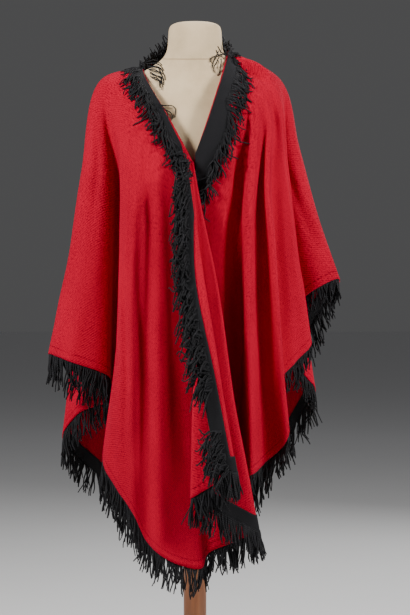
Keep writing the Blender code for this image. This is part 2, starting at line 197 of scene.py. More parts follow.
def paintBand():
    paint = Paint("blackBand", {"Roughness": 0.85, "Sheen Weight": 0.04, "Sheen Roughness": 0.4,
                                "Sheen Tint": (0.6, 0.64, 0.75, 1), "Specular IOR Level": 0.2})
    edge = paint.place("edge")
    along, across, _ = paint.parts(edge)
    rows = (along * (2 * math.pi / blackWool["knit"][0])).sine()
    knit = rows * (across * (2 * math.pi / blackWool["knit"][1])).sine()
    fluff = paint.noise(edge, blackWool["fluffScale"], 3.0)
    share = ramp01(knit * 0.22 + fluff * 0.9, blackWool["darkest"], blackWool["lightest"])
    paint.feed("Base Color", paint.blend(share, blackWool["deep"], blackWool["lit"]))
    paint.feed("Roughness", 0.7 + fluff * 0.2)
    paint.feed("Normal", paint.bump(knit + fluff * 1.5, 0.5 * mm, 0.9))
    return paint.material


def paintFringe():
    paint = Paint("blackFringe", {"Roughness": 0.7, "Sheen Weight": 0.02, "Sheen Roughness": 0.35,
                                  "Sheen Tint": (0.62, 0.66, 0.78, 1), "Specular IOR Level": 0.22})
    strand = paint.place("strand")
    around, along, _ = paint.parts(strand)
    twist = ((around + along * (1 / blackWool["ply"])) * (4 * math.pi)).sine()
    tone = paint.noise(paint.place(), blackWool["toneScale"], 2.0)
    share = ramp01(twist * 0.22 + tone * 0.85, blackWool["darkest"], blackWool["lightest"])
    paint.feed("Base Color", paint.blend(share, blackWool["deep"], blackWool["lit"]))
    paint.feed("Normal", paint.bump(twist, 0.4 * mm, 0.8))
    return paint.material


# The neck seam rises to the back by its slope
jersey = {"deep": (0.43, 0.305, 0.165, 1), "lit": (0.61, 0.46, 0.275, 1),
          "knit": (1.6 * mm, 1.9 * mm), "stainScale": 14.0, "fluffScale": 700.0,
          "neckSeam": 1.447, "seamSlope": 0.22, "seamWidth": 2.2 * mm}


def paintJersey():
    paint = Paint("creamJersey", {"Roughness": 0.85, "Sheen Weight": 0.2, "Sheen Roughness": 0.5})
    where = paint.place()
    x, y, z = paint.parts(where)
    stains = paint.noise(where, jersey["stainScale"], 4.0, 0.6)
    ribs = (x * (2 * math.pi / jersey["knit"][0])).sine()
    knit = ribs * (z * (2 * math.pi / jersey["knit"][1])).sine()
    fluff = paint.noise(where, jersey["fluffScale"], 2.0)
    seamLine = (z - y * jersey["seamSlope"] - jersey["neckSeam"]).size()
    seam = 1 - ramp01(seamLine, 0.4 * mm, jersey["seamWidth"])
    # painted shade: the colour is darker along the neck seam, standing in for the shade in its
    # groove; the bump below makes the groove itself
    share = stains * 1.1 + fluff * 0.25 - seam * 0.5
    paint.feed("Base Color", paint.blend(ramp01(share, 0.2, 0.95), jersey["deep"], jersey["lit"]))
    paint.feed("Normal", paint.bump(knit * 0.25 + fluff - seam * 3.0, 0.35 * mm, 0.7))
    return paint.material


# stretch: how far the grain is drawn out along the pole
wood = {"deep": (0.10, 0.026, 0.004, 1), "lit": (0.24, 0.078, 0.015, 1),
        "stretch": 0.07, "ringScale": 38.0, "poreScale": 650.0}


def paintWood():
    paint = Paint("polishedWood", {"Roughness": 0.4, "Coat Weight": 0.25, "Coat Roughness": 0.25})
    where = paint.place()
    long = paint.node("ShaderNodeMapping", {},
                      {"Vector": where, "Scale": (1.0, 1.0, wood["stretch"])})
    rings = paint.node("ShaderNodeTexWave", {"wave_type": "RINGS", "rings_direction": "Z"},
                       {"Vector": long, "Scale": wood["ringScale"], "Distortion": 5.0,
                        "Detail": 3.0, "Detail Scale": 1.4}, out=1)
    pores = paint.noise(long, wood["poreScale"], 2.0)
    share = rings * 0.55 + pores * 0.45
    paint.feed("Base Color", paint.blend(share, wood["deep"], wood["lit"]))
    paint.feed("Roughness", 0.32 + pores * 0.2)
    paint.feed("Normal", paint.bump(pores + rings * 0.4, 0.12 * mm, 0.5))
    return paint.material


redTwill = paintTwill()
blackBand = paintBand()
blackFringe = paintFringe()
creamJersey = paintJersey()
polishedWood = paintWood()
print("materials painted")


# The cloth: one surface through a line for each fold, as in the frame, and finer.
# Each row gives where the fold starts on the neck edge and its places further down, in mm.
neckEdge = (
    (-4, -133, 1212),       # opening, right front
    (-49, -115, 1298),      # right front, halfway up
    (-99, -62, 1388),       # below the right shoulder
    (-109, -4, 1425),       # right shoulder
    (-82, 62, 1446),        # back, right of the neck
    (-8, 97, 1472),         # back of the neck
    (60, 72, 1468),         # back, left of the neck
    (69, 2, 1461),          # left shoulder
    (57.5, -65.5, 1405.5),  # below the left shoulder
    (33, -107, 1323),       # left front, halfway up
    (-5, -121, 1208),       # opening, left front
)
yokeLine = (
    (7, -152, 1150),
    (-62, -142, 1215),
    (-130, -98, 1325),
    (-203, 0, 1397),
    (-150, 102, 1365),
    (-10, 128, 1360),
    (135, 102, 1365),
    (184, 0, 1397),
    (146, -74, 1366),
    (88, -112, 1318),
    (-20, -137, 1130),
)
# The turned back strip: neck, yoke, upper x y, lower x y, hem
flapFolds = (
    ("free edge", (-29, -141, 1206), (-32, -178, 1163), (-31, -230), (8, -264), (45, -273, 588)),
    ("first ridge", (-17, -140, 1209), (-7, -172, 1156), (18, -219), (50, -250), (82, -261, 581)),
    ("left turn", (-11, -138, 1211), (-2, -165, 1153), (10, -206), (-1, -231), (-5, -239, 529)),
)
# Along the neck edge, upper x y, lower x y, hem
rightFolds = (
    ("fold line", 0.00, (52, -193), (85, -214), (128, -217, 459)),
    ("under the fold line", 0.20, (30, -178), (56, -192), (85, -194, 434)),
    ("inner facet", 0.30, (4, -178), (22, -190), (28, -192, 409)),
    ("lowest point", 0.50, (-18, -178), (-5, -195), (14, -205, 381)),
    ("shadow beside the fringe", 0.75, (-46, -181), (-38, -202), (-29, -206, 387)),
    ("middle ridge", 1.05, (-70, -190), (-70, -213), (-66, -215, 407)),
    ("middle valley", 1.35, (-97, -175), (-98, -196), (-98, -198, 436)),
    ("outer ridge", 1.65, (-125, -178), (-127, -200), (-125, -199, 492)),
    ("outer turn", 1.90, (-146, -154), (-157, -172), (-162, -178, 544)),
    ("outline", 2.15, (-154, -115), (-160, -130), (-189, -145, 592)),
    ("turn to the wing", 2.35, (-150, -68), (-156, -72), (-173, -74, 684)),
    ("wing valley, near wall", 2.48, (-158, -29), (-163, -28), (-171, -29, 738)),
    ("wing valley, far wall", 2.58, (-168, -29), (-172, -28), (-177, -29, 748)),
    ("wing, inner front", 2.72, (-182, -58), (-184, -60), (-187, -64, 768)),
    ("wing, outer front", 2.90, (-219, -56), (-238, -64), (-262, -66, 795)),
    ("right wing tip", 3.00, (-243, -5), (-273, -5), (-314, -5, 810)),
)
backFolds = (
    ("right wing, back", 3.10, (-224, 34), (-241, 30), (-247, 22, 760)),
    ("right wing valley", 3.22, (-198, 52), (-194, 42), (-189, 32, 709)),
    ("right side, rising", 3.36, (-214, 76), (-226, 70), (-254, 62, 679)),
    ("right side ridge", 3.50, (-235, 100), (-265, 100), (-292, 92, 623)),
    ("right side of back", 3.70, (-226, 132), (-246, 137), (-264, 134, 578)),
    ("first back valley", 3.92, (-186, 135), (-198, 143), (-215, 150, 532)),
    ("first back ridge", 4.15, (-150, 168), (-160, 188), (-168, 197, 455)),
    ("second back valley", 4.40, (-106, 145), (-111, 156), (-118, 166, 386)),
    ("second back ridge", 4.68, (-55, 172), (-60, 196), (-64, 210, 349)),
    ("third back valley", 4.97, (-13, 150), (-13, 162), (-12, 175, 343)),
    ("third back ridge", 5.25, (36, 172), (41, 196), (45, 210, 375)),
    ("fourth back valley", 5.50, (80, 145), (86, 156), (91, 166, 430)),
    ("fourth back ridge", 5.75, (121, 166), (131, 186), (140, 196, 505)),
    ("fifth back valley", 6.02, (160, 134), (171, 142), (186, 150, 586)),
    ("left side of back", 6.30, (193, 120), (212, 128), (236, 135, 672)),
    ("left side ridge", 6.52, (207, 88), (232, 92), (266, 98, 728)),
    ("left side, rising", 6.68, (196, 68), (214, 66), (243, 66, 757)),
    ("left wing valley", 6.80, (186, 46), (200, 42), (224, 40, 800)),
    ("left wing, back", 6.91, (200, 26), (232, 27), (266, 27, 893)),
    ("left wing tip", 7.00, (224, 0), (262, 0), (312, 0, 971)),
)
leftFolds = (
    ("left wing, front", 7.12, (208, -26), (236, -26), (271, -24, 957)),
    ("left wing, inner front", 7.27, (191, -28), (207, -22), (230, -12, 925)),
    ("side valley", 7.40, (187, -38), (200, -34), (222, -26, 880)),
    ("side ridge", 7.57, (198, -66), (222, -62), (246, -54, 835)),
    ("side facet", 7.75, (183, -92), (198, -88), (212, -80, 795)),
    ("upper valley", 7.90, (160, -104), (166, -98), (176, -96, 751)),
    ("second ridge", 8.11, (156, -142), (170, -156), (193, -158, 644)),
    ("valley between ridges", 8.32, (134, -124), (138, -130), (144, -136, 587)),
    ("first ridge of left front", 8.53, (118, -162), (111, -184), (115, -180, 567)),
    ("deep valley", 8.80, (88, -122), (88, -132), (92, -134, 556)),
    ("under the right front", 9.18, (56, -146), (57, -160), (60, -158, 551)),
    ("under, middle", 9.62, (16, -150), (14, -162), (12, -162, 551)),
    ("left front edge", 10.00, (-30, -150), (-34, -160), (-34, -160, 560)),
)
# How far forward a fold that turns right back reaches, at its five places, in mm
turnDepths = {"first ridge": (4, 5, 8, 10, 10), "left turn": (4, 5, 8, 12, 14),
              "fold line": (6, 9, 10, 10, 10)}

# Creases: height and width in mm, and places as fold number, counted from the free edge
# of the turned back strip, and share of the way down
creases = (
    ("upper trough of the right chest", -2.5, 16, ((13.1, 0.09), (12.4, 0.18), (12.0, 0.29))),
    ("high swell of the right front", 2.5, 14, ((12.4, 0.14), (12.2, 0.30), (12.2, 0.52))),
    ("dip beside the outline", -2.6, 9, ((14.0, 0.43), (13.6, 0.57), (13.4, 0.72), (13.5, 0.90))),
    ("outer ridge of the right front", 2.0, 9, ((12.7, 0.45), (12.5, 0.64), (12.5, 0.93))),
    ("dip between the ridges", -1.0, 8, ((11.9, 0.46), (11.75, 0.68), (11.7, 0.92))),
    ("bank beside the fringe", 2.2, 14, ((10.7, 0.20), (10.5, 0.46), (10.4, 0.84))),
    ("long trough of the right wing", -3.0, 15, ((19.5, 0.24), (19.9, 0.60), (20.0, 0.92))),
    ("outer ridge of the right wing", 2.5, 13, ((20.2, 0.34), (20.5, 0.64), (20.9, 0.90))),
    ("short crease low on the right wing", -2.2, 6, ((20.1, 0.93), (20.35, 0.84), (20.7, 0.72))),
    ("crest of the left front", 7.0, 5, ((50.3, 0.05), (50.6, 0.15), (50.3, 0.28), (50.2, 0.45),
                                         (50.1, 0.84))),
    ("valley left of the crest", -7.0, 9, ((51.2, 0.15), (50.85, 0.40), (50.7, 0.60),
                                           (50.7, 0.82))),
    ("hollow beside the lapel", -5.0, 14, ((51.8, 0.08), (51.5, 0.19), (51.2, 0.32))),
    ("valley right of the crest", -4.0, 9, ((49.9, 0.16), (49.4, 0.46), (49.2, 0.72))),
    ("second crest of the left front", 4.0, 9, ((48.5, 0.20), (48.0, 0.48), (47.9, 0.90))),
    ("crease down the left side", -4.5, 8, ((45.5, 0.26), (45.1, 0.54), (45.0, 0.80))),
    ("edge beside that crease", 3.0, 9, ((45.9, 0.24), (45.7, 0.54), (45.6, 0.84))),
    ("slanting crease of the left wing", -2.6, 9, ((43.6, 0.40), (42.6, 0.60), (41.8, 0.85))),
    ("outer crease of the left wing", 2.0, 8, ((42.2, 0.52), (41.6, 0.75), (41.3, 0.92))),
    ("pull under the left shoulder", -2.5, 11, ((48.0, 0.11), (46.9, 0.22), (45.9, 0.34))),
    ("roll on the left shoulder", 10.0, 9, ((42.8, 0.02), (44.1, 0.07), (44.6, 0.16))),
    ("pocket under the roll", -8.0, 8, ((44.6, 0.02), (45.3, 0.07), (45.8, 0.14))),
    ("first trough of the back", -4.0, 12, ((28.4, 0.22), (28.6, 0.50), (28.5, 0.78))),
    ("short ridge of the back", 3.0, 9, ((29.5, 0.35), (29.3, 0.50), (29.5, 0.66))),
    ("long ridge of the back", 3.5, 13, ((30.6, 0.16), (30.4, 0.48), (30.7, 0.92))),
    ("middle trough of the back", -4.5, 10, ((31.6, 0.30), (31.5, 0.55), (31.3, 0.86))),
    ("upper crease of the back", -2.5, 10, ((32.6, 0.08), (32.3, 0.20), (32.4, 0.33))),
    ("right trough of the back", -3.5, 12, ((33.7, 0.25), (33.6, 0.52), (33.8, 0.72))),
    ("outer ridge of the back", 3.0, 11, ((35.4, 0.28), (35.2, 0.58), (35.3, 0.93))),
    ("crease of the right side", -3.0, 10, ((25.5, 0.24), (25.6, 0.52), (25.4, 0.80))),
    ("crease of the left side", -3.0, 10, ((37.4, 0.26), (37.5, 0.52), (37.3, 0.78))),
)

# width and length are those of the flat cut, and neckRadius is the hole's when it is a fan
cloth = {"thickness": 2 * mm, "stepsPerFold": 9, "rows": 100, "creaseRise": 1.5,
         "ripple": 0.9 * mm, "ripples": 14, "rippleLengths": (0.05, 0.22), "rippleLean": 0.35,
         "rippleSum": 2.6, "rippleFade": 0.25, "width": 1.95, "length": 1.80, "neckRadius": 0.10}


# A point on the smooth curve through the points. Works on whole rows of points at once
def curveThrough(points, where):
    span = min(int(where), len(points) - 2)
    before = points[span - 1] if span else 2 * points[0] - points[1]
    after = points[span + 2] if span + 2 < len(points) else 2 * points[-1] - points[-2]
    four = [before, points[span], points[span + 1], after]
    knots = [0.0]
    for first, second in zip(four, four[1:]):
        gap = np.linalg.norm(second - first, axis=-1, keepdims=True)
        knots.append(knots[-1] + np.maximum(np.sqrt(gap), 1e-4))
    at = knots[1] + (where - span) * (knots[2] - knots[1])

    def between(first, second, low, high):
        share = (at - low) / (high - low)
        return (1 - share) * first + share * second

    first = [between(four[i], four[i + 1], knots[i], knots[i + 1]) for i in range(3)]
    second = [between(first[i], first[i + 1], knots[i], knots[i + 2]) for i in range(2)]
    return between(second[0], second[1], knots[1], knots[2])


# Five points for each fold: neck, yoke, upper and lower third of the drop, hem
def foldLines():
    neck = np.array(neckEdge, float) * mm
    yoke = np.array(yokeLine, float) * mm
    lines = []
    names = []
    rows = [(row[0], np.array(row[1]) * mm, np.array(row[2]) * mm) + row[3:] for row in flapFolds]
    rows += [(row[0], curveThrough(neck, row[1]), curveThrough(yoke, row[1])) + row[2:]
             for row in rightFolds + backFolds + leftFolds]
    for name, top, start, upper, lower, hem in rows:
        hem = np.array(hem, float) * mm
        drop = hem[2] - start[2]
        upper = np.array((upper[0] * mm, upper[1] * mm, start[2] + drop / 3))
        lower = np.array((lower[0] * mm, lower[1] * mm, start[2] + 2 * drop / 3))
        five = np.array((top, start, upper, lower, hem))
        for forward in (1, 0) if name in turnDepths else (0,):
            shift = np.zeros((5, 3))
            if forward:
                shift[:, 1] = -np.array(turnDepths[name]) * mm
            lines.append(five + shift)
            names.append(name)
    return lines, names


# A fold line as evenly spaced rows
def spread(points, rows):
    fine = np.array([curveThrough(points, w) for w in np.linspace(0, len(points) - 1, 129)])
    run = np.concatenate(([0.0], np.cumsum(np.linalg.norm(np.diff(fine, axis=0), axis=1))))
    places = np.linspace(0, run[-1], rows)
    return np.stack([np.interp(places, run, fine[:, axis]) for axis in range(3)], axis=1)


def gridNormals(grid):
    along = np.gradient(grid, axis=0)
    down = np.gradient(grid, axis=1)
    normals = np.cross(along, down)
    return normals / np.maximum(np.linalg.norm(normals, axis=2, keepdims=True), 1e-12)


# Length run from the first column or row to each point
def runAlong(grid, axis):
    steps = np.linalg.norm(np.diff(grid, axis=axis), axis=2)
    start = np.zeros_like(np.take(steps, [0], axis=axis))
    return np.concatenate((start, np.cumsum(steps, axis=axis)), axis=axis)


def shapeCloth():
    lines, names = foldLines()
    spreadLines = np.array([spread(line, cloth["rows"]) for line in lines])
    count = (len(lines) - 1) * cloth["stepsPerFold"] + 1
    places = np.linspace(0, len(lines) - 1, count)
    grid = np.array([curveThrough(spreadLines, place) for place in places])
    return grid, names


# Small uneven waves that run down the cloth and fade at the shoulders
def addRipples(grid, normals, down):
    chance = np.random.RandomState(5)
    columns = runAlong(grid, 0)[:, -1:]
    height = np.zeros(grid.shape[:2])
    for _ in range(cloth["ripples"]):
        wave = chance.uniform(*cloth["rippleLengths"])
        lean = chance.uniform(-cloth["rippleLean"], cloth["rippleLean"])
        phase = chance.uniform(0, 2 * math.pi)
        turns = (columns + down * lean) * 2 * math.pi / wave + phase
        height += np.sin(turns) * chance.uniform(0.3, 1)
    fade = np.clip(down / cloth["rippleFade"], 0, 1)
    return grid + normals * (height * fade * cloth["ripple"] / cloth["rippleSum"])[:, :, None]


# Soft troughs and ridges, each fading out at its two ends and to its sides
def addCreases(grid, normals, across):
    rows = np.linspace(0, 1, grid.shape[1])
    height = np.zeros(grid.shape[:2])
    columns = np.arange(grid.shape[0])
    for _, rise, width, path in creases:
        folds, shares = np.array(path).T
        inside = (rows >= shares[0]) & (rows <= shares[-1])
        middle = np.interp(rows, shares, folds) * cloth["stepsPerFold"]
        done = np.clip((rows - shares[0]) / (shares[-1] - shares[0]), 0, 1)
        fade = np.sin(math.pi * done) ** 0.6 * inside
        for j in np.flatnonzero(inside):
            away = across[:, j] - np.interp(middle[j], columns, across[:, j])
            bulge = np.exp(-(away / (width * mm)) ** 2)
            height[:, j] += rise * cloth["creaseRise"] * mm * fade[j] * bulge
    return grid + normals * height[:, :, None]


clothGrid, foldNames = shapeCloth()
clothNormals = gridNormals(clothGrid)
clothGrid = addCreases(clothGrid, clothNormals, runAlong(clothGrid, 0))
clothNormals = gridNormals(clothGrid)
clothGrid = addRipples(clothGrid, clothNormals, runAlong(clothGrid, 1))
clothNormals = gridNormals(clothGrid)


# The grid column of a fold; of a fold that turns, the back or the front one
def column(name, back=True):
    places = [i for i, n in enumerate(foldNames) if n == name]
    return (places[-1] if back else places[0]) * cloth["stepsPerFold"]


# Where each point lies on the flat cut, as a fan round the neck
def flatPlan(grid):
    down = runAlong(grid, 1) + cloth["neckRadius"]
    steps = np.linalg.norm(np.diff(grid, axis=0), axis=2)
    turn = np.median(steps / ((down[1:] + down[:-1]) / 2), axis=1)
    turn = np.concatenate(([0.0], np.cumsum(turn)))[:, None]
    return np.stack((np.cos(turn) * down, np.sin(turn) * down), axis=2)


# Points and faces of a frame node, for a search tree
def meshOf(node):
    mesh = bpy.data.objects[node].data
    return [v.co.copy() for v in mesh.vertices], [tuple(p.vertices) for p in mesh.polygons]


# Name, material, smooth shading and body of the piece just made
def finishMesh(name, material):
    piece = bpy.context.object
    piece.name = name
    piece.data.name = name
    piece.data.materials.clear()
    piece.data.materials.append(material)
    piece.data.shade_smooth()
    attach(piece, "root")
    return piece


def selectOnly(piece):
    bpy.ops.object.select_all(action="DESELECT")
    piece.select_set(True)
    bpy.context.view_layer.objects.active = piece


# A grid of points as a mesh with UV maps in metres
def sheetObject(name, grid, uvMaps):
    columns, rows = grid.shape[:2]
    at = np.arange(columns * rows).reshape(columns, rows)
    corners = np.stack((at[:-1, :-1], at[1:, :-1], at[1:, 1:], at[:-1, 1:]), axis=2).reshape(-1, 4)
    mesh = bpy.data.meshes.new(name)
    mesh.from_pydata(grid.reshape(-1, 3).tolist(), [], corners.tolist())
    for label, plan in uvMaps.items():
        layer = mesh.uv_layers.new(name=label)
        layer.data.foreach_set("uv", plan.reshape(-1, 2)[corners.reshape(-1)].reshape(-1))
    piece = bpy.data.objects.new(name, mesh)
    bpy.context.collection.objects.link(piece)
    selectOnly(piece)
    return piece


def thicken(piece, thickness):
    solid = piece.modifiers.new("thickness", "SOLIDIFY")
    solid.thickness = thickness
    solid.offset = 0.0
    selectOnly(piece)
    bpy.ops.object.modifier_apply(modifier=solid.name)


def makeCloth():
    along = runAlong(clothGrid, 0)
    down = runAlong(clothGrid, 1)
    edge = np.stack((along, down[:, -1:] - down), axis=2)
    piece = sheetObject("ponchoCloth", clothGrid, {"flat": flatPlan(clothGrid), "edge": edge})
    thicken(piece, cloth["thickness"])
    piece = finishMesh("ponchoCloth", redTwill)
    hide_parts("front_right", "back", "front_left")
    return piece


ponchoCloth = makeCloth()
print("cloth made:", len(ponchoCloth.data.polygons), "faces")


# The black bands: rows of points across the cloth, from the inner line to the free edge.
# off: how far a band lies off the cloth, and lapelOff the same on the two lapels
band = {"width": 33 * mm, "thickness": 1.4 * mm, "off": 2.2 * mm, "lapelOff": 3.3 * mm,
        "steps": 7, "joinRows": 9, "firstRow": 4}
lastColumn = clothGrid.shape[0] - 1
downRun = runAlong(clothGrid, 1)
acrossRun = runAlong(clothGrid, 0)


# Evenly spaced points and unit normals on a line, between two lengths along it
def alongLine(points, normals, run, start, stop):
    places = np.linspace(start, stop, band["steps"])
    spots = np.stack([np.interp(places, run, points[:, k]) for k in range(3)], 1)
    ways = np.stack([np.interp(places, run, normals[:, k]) for k in range(3)], 1)
    return spots, ways / np.linalg.norm(ways, axis=1, keepdims=True)


# Across the cloth below the neck edge. Inset and width are functions of the share done
def neckSections(first, last, inset, width, side, lift):
    sections = []
    for i in range(first, last + 1):
        share = (i - first) / (last - first)
        start = inset(share)
        spots, ways = alongLine(clothGrid[i], clothNormals[i], downRun[i],
                                start, start + width(share))
        sections.append((spots + ways * side * lift, ways * side))
    return sections


def hemSections(first, last, side, lift):
    sections = []
    for i in range(first, last + 1):
        length = downRun[i, -1]
        spots, ways = alongLine(clothGrid[i], clothNormals[i], downRun[i],
                                length - band["width"], length)
        sections.append((spots + ways * side * lift, ways * side))
    return sections


# Across the cloth along a front edge, right front from the left end of the grid
def edgeSections(fromLeft, widths, side, lift):
    sections = []
    grid = clothGrid if fromLeft else clothGrid[::-1]
    normals = clothNormals if fromLeft else clothNormals[::-1]
    run = runAlong(grid, 0)
    for j in range(band["firstRow"], grid.shape[1]):
        spots, ways = alongLine(grid[:, j], normals[:, j], run[:, j], widths[j], 0.0)
        sections.append((spots + ways * side * lift, ways * side))
    return sections


# Two runs of sections with smooth ones between them
def joined(first, second, between):
    both = [np.array([first[-2], first[-1], second[0], second[1]])[:, k] for k in (0, 1)]
    middle = []
    for place in np.linspace(1, 2, between + 2)[1:-1]:
        spots = curveThrough(both[0], place)
        ways = curveThrough(both[1], place)
        middle.append((spots, ways / np.linalg.norm(ways, axis=1, keepdims=True)))
    return first + middle + second


def ease(share):
    share = min(max(share, 0.0), 1.0)
    return share * share * (3 - 2 * share)


# In mm. The right lapel goes from the V up, and red shows beside its band near the V. The left
# one goes from the shoulder down, and widens from a share of its way, over a share, by so much
lapels = {"inset": 1.5, "insetAtV": 9, "insetEnds": 0.28, "width": 32, "narrowing": 26,
          "leftInset": 2.5, "leftWidth": 11,
          "leftWidens": ((0.0, 0.4, 19), (0.78, 0.12, 22), (0.90, 0.10, 60))}


def lapelInset(share):
    return (lapels["inset"] + lapels["insetAtV"] * ease(1 - share / lapels["insetEnds"])) * mm


def lapelWidth(share):
    return (lapels["width"] - lapels["narrowing"] * share) * mm


def leftInset(share):
    return lapels["leftInset"] * mm


def leftWidth(share):
    more = [wider * ease((share - start) / over) for start, over, wider in lapels["leftWidens"]]
    return (lapels["leftWidth"] + sum(more)) * mm


# The back of the neck: the band lies inside the cloth, from its lower line up to the edge
def neckInset(share):
    return band["width"]


def neckWidth(share):
    return -band["width"]


ridgeColumn = column("first ridge", False)
roomToRidge = acrossRun[ridgeColumn] - acrossRun[0] - 2 * mm
frontWidths = np.minimum(band["width"], roomToRidge)
wholeWidths = np.full(cloth["rows"], band["width"])
# Some bands start or end a few columns away from a fold
lapel = neckSections(column("lowest point") + 2, column("right wing tip") - 6,
                     lapelInset, lapelWidth, 1, band["lapelOff"])
rightEdge = edgeSections(True, frontWidths, -1, band["off"])
sections = {
    "frontRight": joined(lapel[::-1], rightEdge, band["joinRows"]),
    "frontLeft": edgeSections(False, wholeWidths, 1, band["off"]),
    "hem": hemSections(0, lastColumn, -1, band["off"]),
    "neckBack": neckSections(column("right wing tip") - 13, column("left wing tip") + 5,
                             neckInset, neckWidth, -1, band["off"]),
    "neckLeft": neckSections(column("left wing tip") + 6, lastColumn - 4,
                             leftInset, leftWidth, 1, band["lapelOff"]),
}
bandNodes = {
    "hem": ("fringe_hem_front_right", "fringe_hem_back", "fringe_hem_front_left"),
    "frontRight": ("fringe_front_right", "fringe_neck_right"), "frontLeft": ("fringe_front_left",),
    "neckBack": ("fringe_neck_back",), "neckLeft": ("fringe_neck_left",),
}
strips = {key: (np.array([s[0] for s in rows]), np.array([s[1] for s in rows]))
          for key, rows in sections.items()}


def makeBand(key):
    grid, _ = strips[key]
    edge = np.stack((runAlong(grid, 0), runAlong(grid, 1)), axis=2)
    name = "band" + key[0].upper() + key[1:]
    piece = sheetObject(name, grid, {"edge": edge})
    thicken(piece, band["thickness"])
    piece = finishMesh(name, blackBand)
    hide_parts(*bandNodes[key])
    return piece


bands = [makeBand(key) for key in strips]
print("bands made")


# The fringe: twisted strands out of each band's free edge, in uneven bunches.
# lengths, radii: least and most share. newBunch: how often a bunch starts, and bunchSwing how
# far it leans. bare: heights where the front band has no fringe. crowded: the run of hem beside
# the right front's edge where strands stand twice as close, real fringe made denser as painted
# shade, the extra black strands standing in for the shade on the cloth behind them. leftSize:
# length on the left hem.
# foremost, pressed: where strands are pressed back from, and over what depth. reach, clear: how
# far round a strand the cloth is looked for, and how far off the cloth the strand is kept
fringe = {"length": 60 * mm, "lengths": (0.78, 1.12), "radius": 1.65 * mm, "radii": (0.75, 1.15),
          "sides": 5, "joints": 9, "taper": 0.25, "newBunch": 0.33, "bunchSwing": 0.22,
          "swell": 0.07, "bare": (668 * mm, 745 * mm), "crowded": 420 * mm, "leftSize": 0.74,
          "foremost": -281 * mm, "pressed": 16 * mm, "reach": 20 * mm, "clear": 0.4 * mm}
# For each edge: pitch, how far a strand keeps the cloth's way, falls and lifts, curl, length,
# over what depth of the band the roots spread, and how far single strands stray
fringeStyles = {
    "hem": {"pitch": 3.1, "own": 0.42, "fall": 0.80, "rise": 0.02, "curl": 3.6, "size": 0.98,
            "spread": 0, "stray": 0.09},
    "edge": {"pitch": 0.95, "own": 0.62, "fall": 0.66, "rise": 0.50, "curl": 15.0, "size": 0.54,
             "spread": 24, "stray": 0.38},
    "lapel": {"pitch": 2.0, "own": 0.88, "fall": 0.38, "rise": 0.36, "curl": 9.0, "size": 0.80,
              "spread": 5, "stray": 0.24},
    "leftLapel": {"pitch": 2.0, "own": 0.85, "fall": 0.50, "rise": 0.34, "curl": 8.0, "size": 0.82,
                  "spread": 5, "stray": 0.24},
    "collar": {"pitch": 1.4, "own": 0.35, "fall": -0.85, "rise": 0.05, "curl": 13.0, "size": 1.02,
               "spread": 13, "stray": 0.30},
}
# Where a band's strands grow longer: share at the start, how much more, and from and over what
# run. At the collar they wane again towards its end
growths = {
    "collar": {"least": 0.22, "more": 0.78, "start": 0.0, "over": 170 * mm, "wane": 160 * mm},
    "leftLapel": {"least": 0.50, "more": 0.50, "start": 30 * mm, "over": 90 * mm},
    "edge": {"least": 0.95, "more": 0.50, "start": 250 * mm, "over": 250 * mm},
}
fringeEdges = {
    "fringeHem": (("hem", "hem"),),
    "fringeFronts": (("frontRight", "edge"), ("frontLeft", "edge")),
    "fringeNeck": (("neckBack", "collar"), ("neckLeft", "leftLapel")),
}
clothTree = BVHTree.FromPolygons(
    clothGrid.reshape(-1, 3).tolist(),
    [(i * cloth["rows"] + j, (i + 1) * cloth["rows"] + j, (i + 1) * cloth["rows"] + j + 1,
      i * cloth["rows"] + j + 1)
     for i in range(lastColumn) for j in range(cloth["rows"] - 1)])


# Moves a strand's points out where they would sink into the cloth. Outside is away from the
# pole, and a strand that may lie on either side stays on its own
def clearOfCloth(line, eitherSide):
    clear = cloth["thickness"] / 2 + fringe["radius"] + fringe["clear"]
    freed = [line[0]]
    for point in line[1:]:
        near, normal, _, gap = clothTree.find_nearest(Vector(point), fringe["reach"])
        if near is not None and gap > 1e-6:
            way = (Vector(point) - near) / gap
            if not eitherSide:
                if normal.x * near.x + normal.y * near.y < 0:
                    normal = -normal
                if abs(way.dot(normal)) > 0.7:
                    gap = gap * (1 if way.dot(normal) > 0 else -1)
                    way = normal
            if gap < clear:
                point = np.array(near + way * clear)
        freed.append(point)
    return freed


# Presses back what would stand too far out at the front
def pressedBack(line):
    for point in line:
        over = fringe["foremost"] - point[1]
        if over > 0:
            point[1] += over - fringe["pressed"] * math.tanh(over / fringe["pressed"])
    return line


# Share of the full length at a place along a band, with so much of the band left
def growth(kind, place, left):
    if kind not in growths:
        return 1.0
    rule = growths[kind]
    share = ease((place - rule["start"]) / rule["over"])
    if "wane" in rule:
        share *= ease(left / rule["wane"])
    return rule["least"] + rule["more"] * share


# One strand's middle line: it leaves along the cloth, then curls and falls
def strandLine(root, out, lift, length, look, bunch, chance):
    side = np.cross(out, lift)
    down = np.array((0.0, 0.0, -1.0))
    joints = fringe["joints"]
    swing = bunch + chance.normal(0, look["stray"])
    swell = chance.normal(0, fringe["swell"])
    phase = chance.uniform(0, 2 * math.pi, 2)
    turns = chance.uniform(0.5, 1.5, 2) * 6.3
    curl = look["curl"] * mm * chance.uniform(0.5, 1.3)
    point = root - out * (1.5 + look["spread"] * chance.rand()) * mm
    point = point + lift * (0.08 * look["spread"]) * mm
    line = [point]
    for n in range(1, joints + 1):
        t = n / joints
        way = look["own"] * (1 - 0.6 * t) * out + look["fall"] * (0.5 + t) * down
        way = way + look["rise"] * (1 - 1.1 * t) * lift
        way = way + side * swing * (0.4 + t) + lift * swell
        way = way / np.linalg.norm(way)
        bend = curl * (0.35 + t) / joints * 3
        point = point + way * (length / joints)
        point = point + side * math.cos(turns[0] * t + phase[0]) * bend
        point = point + lift * math.cos(turns[1] * t + phase[1]) * bend * 0.6
        line.append(point)
    return line


